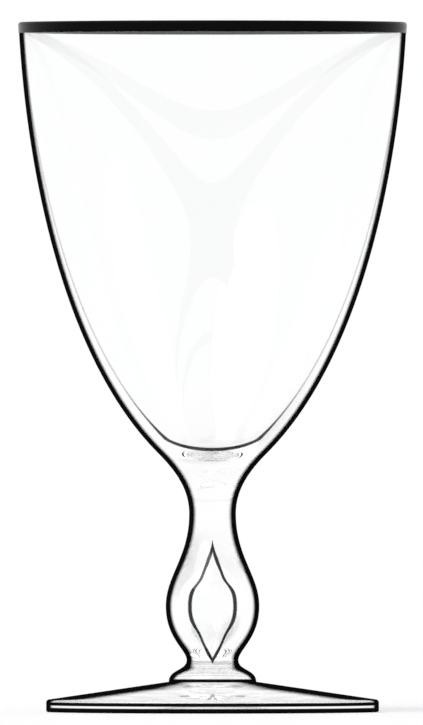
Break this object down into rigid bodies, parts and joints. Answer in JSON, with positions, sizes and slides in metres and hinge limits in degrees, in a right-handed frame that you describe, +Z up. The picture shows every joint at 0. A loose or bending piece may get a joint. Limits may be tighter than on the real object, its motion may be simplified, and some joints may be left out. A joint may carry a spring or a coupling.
{
  "type": "water goblet",
  "caption": "Clear stemmed water goblet: deep egg-shaped bowl with a dark banded rim, on a baluster stem holding an air tear, on a low conical foot.",
  "frame": {"origin": "on the goblet's axis, in the plane of the table that the foot's rest ring stands on", "axes": "+Z up the goblet's axis from the foot to the rim; the goblet is round, so X and Y are free"},
  "size_m": [0.0902, 0.0902, 0.16],
  "materials": {
    "clear_glass": "fire-polished clear crystal",
    "band_enamel": "gloss black vitreous enamel, fired on"
  },
  "bodies": {
    "root": {"bowl": "clear_glass", "rim_band": "band_enamel", "stem": "clear_glass", "foot": "clear_glass"}
  },
  "joints": []
}
